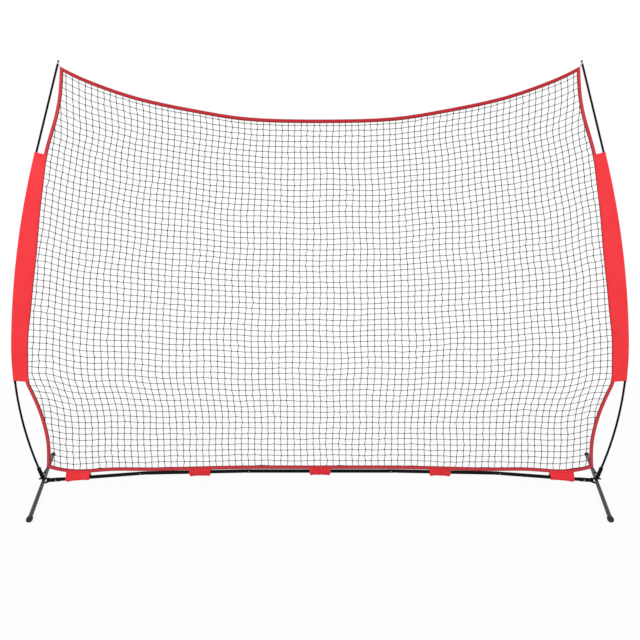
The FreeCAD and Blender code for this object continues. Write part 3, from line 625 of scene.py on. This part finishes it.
# The net lies flat in the tape, and its knots are pressed flat there.
knots_flat = np.stack([mesh_x, mesh_z], axis=2).reshape(-1, 2)
to_tape = np.array([np.linalg.norm(outline[::3] - knot, axis=1).min() for knot in knots_flat])
to_tape = to_tape.reshape(mesh_x.shape)
mesh_y = billow * np.sin(mesh_x / 0.21) * np.sin(mesh_z / 0.17 + 1) * np.clip(to_tape / 0.2 - 0.1, 0, 1)
knot_size = np.where(to_tape < pressed_within, pressed_radius, knot_radius)


def inside(x, z):
    """Whether a point lies inside the outline: a ray from it crosses the outline an odd number of times."""
    rises = (outline[:, 1] > z) != (outline_next[:, 1] > z)
    part = (z - outline[rises, 1]) / (outline_next[rises, 1] - outline[rises, 1])
    cross = outline[rises, 0] + part * (outline_next[rises, 0] - outline[rises, 0])
    return bool((cross > x).sum() % 2)


def cut_end(inner, outer):
    """Where the run from an inner point to an outer one meets the outline."""
    low, high = 0.0, 1.0
    for step in range(12):
        middle = (low + high) / 2
        x, y, z, size = inner + (outer - inner) * middle
        if inside(x, z):
            low = middle
        else:
            high = middle
    return inner + (outer - inner) * low


def cord_runs(lines):
    """The stretches of each cord that lie inside the tape: a cut end, the knots, a cut end. The
    fourth number of each place is the knot's radius."""
    runs = []
    for line in lines:
        kept = [inside(x, z) for x, y, z, size in line]
        k = 0
        while k < len(line):
            if not kept[k]:
                k += 1
                continue
            stop = k
            while stop + 1 < len(line) and kept[stop + 1]:
                stop += 1
            run = list(line[k:stop + 1])
            if k > 0:
                run.insert(0, cut_end(line[k], line[k - 1]))
            if stop + 1 < len(line):
                run.append(cut_end(line[stop], line[stop + 1]))
            if len(run) > 2:
                runs.append(run)
            k = stop + 1
    return runs


def cords(runs, first_axis, second_axis, twine_radius, sides_round=5):
    """Tubes along the runs that swell at every knot."""
    turns = [math.tau * k / sides_round for k in range(sides_round)]
    circle = np.array([first_axis * math.cos(t) + second_axis * math.sin(t) for t in turns])
    points, faces = [], []
    for run in runs:
        sizes = [place[3] for place in run]
        run = [place[:3] for place in run]
        rings = [(run[0], twine_radius)]
        for before, knot, after, size in zip(run, run[1:-1], run[2:], sizes[1:]):
            near = [knot + (other - knot) * min(knot_reach / np.linalg.norm(other - knot), 0.45)
                    for other in (before, after)]
            rings += [(near[0], twine_radius), (knot, size), (near[1], twine_radius)]
        rings.append((run[-1], twine_radius))
        placed, joined = skin([middle + circle * radius for middle, radius in rings])
        base = len(points)
        points += placed
        faces += [tuple(base + i for i in face) for face in joined]
    return points, faces


def run_out(lines, meshes=1.5):
    """The level cords, carried on past their outermost knots so that they reach the side tapes."""
    first = lines[:, :1] + (lines[:, :1] - lines[:, 1:2]) * meshes
    last = lines[:, -1:] + (lines[:, -1:] - lines[:, -2:-1]) * meshes
    return np.concatenate([first, lines, last], axis=1)


knots = np.stack([mesh_x, mesh_y, mesh_z, knot_size], axis=2)
x_axis, y_axis, z_axis = np.eye(3)
uprights = new_piece("net_upright_cords", *cords(cord_runs(knots), x_axis, y_axis, upright_radius),
                     twine, "net_cord")
levels = new_piece("net_level_cords",
                   *cords(cord_runs(run_out(knots.transpose(1, 0, 2))), y_axis, z_axis, level_radius),
                   twine, "net_cord")
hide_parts("net_panel")
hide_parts("net_panel")


# Side sleeves: light woven polyester, folded round the pole and sewn over the side tape. The pole
# pulls it into shallow slanting creases, and the seam gathers it a little.
def surface_of(names):
    """The surface of some carried nodes, for finding places on it with rays."""
    points, faces = [], []
    for name in names:
        base = len(points)
        points += [v.co.copy() for v in nodes[name].data.vertices]
        faces += [[base + v for v in face.vertices] for face in nodes[name].data.polygons]
    return BVHTree.FromPolygons(points, faces)


beside_seam = 0.0007
pole_surface = {side: surface_of(pole_nodes[side]) for side in sides}


def pole_x(side, sign, z):
    """The pole's centre at a height, half way between its outboard and inboard faces."""
    outboard = pole_surface[side].ray_cast(Vector((sign * 3, beside_seam, z)), Vector((-sign, 0, 0)))[0]
    inboard = pole_surface[side].ray_cast(Vector((0, beside_seam, z)), Vector((sign, 0, 0)))[0]
    return (outboard.x + inboard.x) / 2


cloth_red = woven("bright_red_polyester_cloth", 0.6, "#F0242E", "#F83A42", 2.5, 150)

sleeve_top_fall = 0.015
sleeve_bottom_fall = 0.009
top_inset = 0.002
sleeve_low, sleeve_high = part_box("side_sleeve_right")
sleeve_top = sleeve_high.z - top_inset
sleeve_bottom = sleeve_low.z + sleeve_bottom_fall
hem_width = 0.018
sleeve_cloth = 0.0008
pocket_radius = 0.0093
flat_half_depth = tape_half_depth + 0.0001 + sleeve_cloth
pocket_blend = 0.028


def crease(place, slant):
    """Height of the creases at a place: sharp ridges along one slant, broken up at random."""
    along = place.z * math.cos(slant) - place.x * math.sin(slant)
    beside = place.z * math.sin(slant) + place.x * math.cos(slant)
    rough = noise.noise(Vector((beside / 0.21, place.y * 400, along / 0.052)))
    fine = noise.noise(Vector((beside / 0.07, place.y * 400 + 9, along / 0.024)))
    return (0.5 - abs(rough)) * 0.7 + fine * 0.3


crease_slant = 0.62
crease_height = 0.0024
gather_height = 0.0007
gather_pitch = 0.026


def sleeve_face(centre, seam, away, face, proud):
    """A point on the sleeve's front (-1) or back (1), at a distance from the pole toward the seam."""
    share = away / math.dist(centre, seam)
    blend = min(away / pocket_blend, 1)
    ease = blend * blend * (3 - 2 * blend)
    depth = pocket_radius + (flat_half_depth - pocket_radius) * ease + proud
    x = centre[0] + (seam[0] - centre[0]) * share
    z = centre[1] + (seam[1] - centre[1]) * share
    lift = crease_height * max(0.0, 4 * share * (1 - share)) * crease(Vector((abs(x), face, z)), crease_slant)
    lift += gather_height * share ** 3 * math.sin(math.tau * z / gather_pitch + face)
    return x, face * (depth + max(lift, 0)), z


def sleeve_ring(centre, seam, hem):
    """One cross-section of a sleeve: a seam edge, the front, round the pole, and the back."""
    reach = math.dist(centre, seam)
    inward = ((seam[0] - centre[0]) / reach, (seam[1] - centre[1]) / reach)
    flat = [reach * share for share in (1.0, 0.96, 0.88, 0.78, 0.68, 0.58, 0.48, 0.4)]
    flat += [pocket_blend * share for share in (1.0, 0.75, 0.5, 0.28, 0.1)]
    flat.sort(reverse=True)
    ring = []
    for proud in (hem, -sleeve_cloth):
        layer = [sleeve_face(centre, seam, away, -1, proud) for away in flat]
        for k in range(9):
            turn = math.pi * k / 8
            out = -(pocket_radius + proud) * math.sin(turn)
            layer.append((centre[0] + inward[0] * out, -(pocket_radius + proud) * math.cos(turn),
                          centre[1] + inward[1] * out))
        layer += [sleeve_face(centre, seam, away, 1, proud) for away in reversed(flat)]
        ring += layer if proud == hem else layer[::-1]
    return ring


seam_rows = (0.005, 0.011)
hem_row = 0.014
hem_step = 0.004
seam_lines = {side: oriented(edges["side_binding_" + side][1], 1, True) for side in sides}


def sleeve_line(side, sign, share):
    """The pole's centre and the seam at a share of the sleeve's height."""
    z = sleeve_bottom + (sleeve_top - sleeve_bottom) * share
    fall = sleeve_bottom_fall + (sleeve_top_fall - sleeve_bottom_fall) * share
    seam_line = seam_lines[side]
    return (pole_x(side, sign, z), z), (np.interp(z - fall, seam_line[:, 1], seam_line[:, 0]), z - fall)


for side, sign in (("left", -1), ("right", 1)):
    stations = 190
    lines = [sleeve_line(side, sign, k / (stations - 1)) for k in range(stations)]
    height = sleeve_top - sleeve_bottom
    rings = []
    for k, (centre, seam) in enumerate(lines):
        from_end = min(k, stations - 1 - k) * height / (stations - 1)
        hem = sleeve_cloth * min(1.0, max(0.0, (hem_width - from_end) / hem_step + 0.5))
        rings.append(sleeve_ring(centre, seam, hem))
    sleeve = new_piece("sleeve_" + side, *skin(rings), cloth_red, "sleeve_fabric")
    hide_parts("side_sleeve_" + side)
    count = int(height / stitch_pitch)
    rows = []
    for face in (-1, 1):
        for inset in seam_rows:
            spots = []
            for k in range(2, count - 2):
                centre, seam = sleeve_line(side, sign, k / (count - 1))
                spots.append(sleeve_face(centre, seam, math.dist(centre, seam) - inset, face, 0))
            rows.append([(spot, Vector(after) - Vector(before), (0, face, 0))
                         for before, spot, after in zip(spots, spots[1:], spots[2:])])
        for share in (hem_row / height, 1 - hem_row / height):
            centre, seam = sleeve_line(side, sign, share)
            steps = int(math.dist(centre, seam) / stitch_pitch)
            spots = [sleeve_face(centre, seam, k * stitch_pitch, face, sleeve_cloth)
                     for k in range(1, steps)]
            rows.append([(spot, Vector(after) - Vector(before), (0, face, 0))
                         for before, spot, after in zip(spots, spots[1:], spots[2:])])
    sew("sleeve_stitches_" + side, rows)

# Bottom tabs: pieces of the same cloth, doubled, folded round the bar and sewn to both faces of the
# tape. The end tabs are nearly tight on the bar, and the others hang slack under it in creases.
bar_surface = surface_of(["base_tube_middle"] + [part + side for side in sides
                                                for part in ("base_tube_outer_", "base_tube_inner_")])
bar_radius = 0.011
tab_cloth = 0.0016
tab_clearance = 0.0008
tab_radius = bar_radius + tab_clearance + tab_cloth / 2
tab_plate = tape_half_depth + 0.0001 + tab_cloth / 2
end_tab_slack = 0.003
tab_slack = 0.0115
# The folded cloth is drawn in toward its lowest line, most of all at its two ends, and it hangs
# lowest there.
end_tab_pinch = 0.012
tab_pinch = 0.008
tab_sag = 0.0018
# How deep the cloth's uneven drape is, the level that it swings about, and how far in it may go.
drape_depth = 0.0032
drape_level = 0.42
drape_least = -0.0004
under_tape = oriented(edges["bottom_binding"][0], 0, True)
tab_points = 120
# Creases across a slack tab: how far up it, how much they bow, how wide they are, and how far the
# cloth stands out there, or in.
tab_creases = ((0.50, -0.06, 0.08, 0.0032), (0.30, 0.06, 0.07, 0.0040), (0.17, 0.0, 0.06, -0.0036))
# The slack tabs are the same cloth as the end tabs and the sleeves, painted darker: painted shade for their
# creases.
slack_tab_painted_shade = woven("red_polyester_cloth_painted_shade", 0.6, "#CC1C26", "#EE323C", 2.5, 35)


def bar_height(x):
    """The height of the bar's axis: its upper face, less its radius."""
    return bar_surface.ray_cast(Vector((x, beside_seam, 0.3)), Vector((0, 0, -1)))[0].z - bar_radius


def tab_middle(x, overlap, slack):
    """The middle line of a tab's cloth: down its front, under the bar and up its back."""
    axis = bar_height(x)
    tape = np.interp(x, *under_tape.T)
    neck = max(tape, axis + tab_radius * 0.9)
    top = tape + overlap
    half = [(tab_plate, top), (tab_plate, (top + neck) / 2), (tab_plate, neck + 0.001),
            (tab_radius * 0.62, axis + tab_radius * 0.72 + (neck - axis - tab_radius * 0.9) * 0.3),
            (tab_radius * 0.93, axis + tab_radius * 0.36), (tab_radius, axis),
            (tab_radius, axis - slack * 0.5), (tab_radius, axis - slack)]
    line = [(-y, z) for y, z in half]
    for k in range(1, 8):
        turn = math.pi * k / 8
        line.append((-tab_radius * math.cos(turn), axis - slack - tab_radius * math.sin(turn)))
    line += list(reversed(half))
    return spread(np.array(line), tab_points), axis, neck


def tab_relief(across, up, fold, fade, creased):
    """How far the cloth stands out: its uneven drape, and its creases, which are weak in a tight tab."""
    creases = sum(depth * math.exp(-((up - height - bow * across ** 2) / width) ** 2)
                  for height, bow, width, depth in tab_creases)
    return max(drape_depth * fade * (drape_level - abs(fold)), drape_least) + creases * fade * creased


def tab_ring(x, middle_x, half_width, overlap, slack, drawn_in):
    """One cross-section of a tab, across the bar. Cloth that would come nearer to the bar than its
    clearance is pushed out to it."""
    across = (x - middle_x) / half_width
    creased = (slack / tab_slack) ** 2
    slack = slack + tab_sag * (2 * across ** 2 - 1)
    line, axis, neck = tab_middle(x, overlap, slack)
    ahead = np.gradient(line, axis=0)
    normal = np.stack([ahead[:, 1], -ahead[:, 0]], axis=1)
    normal /= np.linalg.norm(normal, axis=1)[:, None]
    lowest = axis - slack - tab_radius
    centre = np.array((0, axis))
    cloth = []
    pinch = []
    for k, (y, z) in enumerate(line):
        fade = min(1.0, max(0.0, (neck + 0.004 - z) / 0.012))
        fold = noise.noise(Vector((x / 0.075 + 3, y / 0.05, z / 0.013 + x / 0.06)))
        up = (z - lowest) / (line[0, 1] - lowest)
        spot = line[k] + normal[k] * tab_relief(across, up, fold, fade, creased)
        reach = np.linalg.norm(spot - centre)
        if reach < tab_radius:
            spot = centre + (spot - centre) * tab_radius / reach
        cloth.append(spot)
        low = min(1.0, max(0.0, (axis - z) / (axis - lowest)))
        pinch.append(drawn_in * low ** 2 * across ** 3)
    ring = []
    layers = ((-tab_cloth / 2, range(tab_points)), (tab_cloth / 2, range(tab_points - 1, -1, -1)))
    for offset, order in layers:
        for k in order:
            y, z = cloth[k] + normal[k] * offset
            ring.append((x - pinch[k], y, z))
    return ring


tab_rows = (0.004, 0.0115)
for name in ("end_tab_left", "inner_tab_left", "middle_tab", "inner_tab_right", "end_tab_right"):
    low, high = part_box(name)
    overlap = high.z - max(np.interp(low.x, *under_tape.T), np.interp(high.x, *under_tape.T))
    slack, drawn_in = (end_tab_slack, end_tab_pinch) if name.startswith("end") else (tab_slack, tab_pinch)
    middle_x, half_width = (low.x + high.x) / 2, (high.x - low.x) / 2
    rings = []
    stations = 40
    for k in range(stations):
        x = low.x + (high.x - low.x) * k / (stations - 1)
        rings.append(tab_ring(x, middle_x, half_width, overlap, slack, drawn_in))
    # The slack tabs take the darker red, which is painted shade.
    finish = slack_tab_painted_shade if slack == tab_slack else cloth_red
    tab = new_piece(name + "_strap", *skin(rings), finish, "tab_webbing")
    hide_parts(name)
    line = tab_middle(middle_x, overlap, slack)[0]
    count = int(2 * half_width / stitch_pitch)
    face_depth = tab_plate + tab_cloth / 2
    rows = []
    for face in (-1, 1):
        for inset in tab_rows:
            spots = []
            for k in range(1, count):
                x = low.x + 2 * half_width * k / count
                spots.append((x, face * face_depth, np.interp(x, *under_tape.T) + overlap - inset))
            rows.append([(spot, Vector(after) - Vector(before), (0, face, 0))
                         for before, spot, after in zip(spots, spots[1:], spots[2:])])
    sew(name + "_stitches", rows)

# Elastic loops: round rubber cord in a braided cover. The upper ones are pale, the lower ones and
# the cord inside the poles are black.
for name, dark, pale, slot, members in (
        ("pale_braided_elastic", "#A9A9A6", "#D2D2CE", "pale_elastic", ["top_corner_loops"]),
        ("black_braided_elastic", "#0F0F10", "#222224", "shock_cord",
         ["bottom_corner_loops", "pole_shock_cords"])):
    braid, tree, shader, place = new_finish(name, {"Roughness": 0.6, "Sheen Weight": 0.2})
    plait = add(tree, "ShaderNodeTexVoronoi", {"Vector": place, "Scale": repeats(1.6)})
    colour(tree, shader, plait.outputs[0], linear(pale), linear(dark))
    emboss(tree, shader, plait.outputs[0], 0.5, 0.0003)
    dress(braid, members)
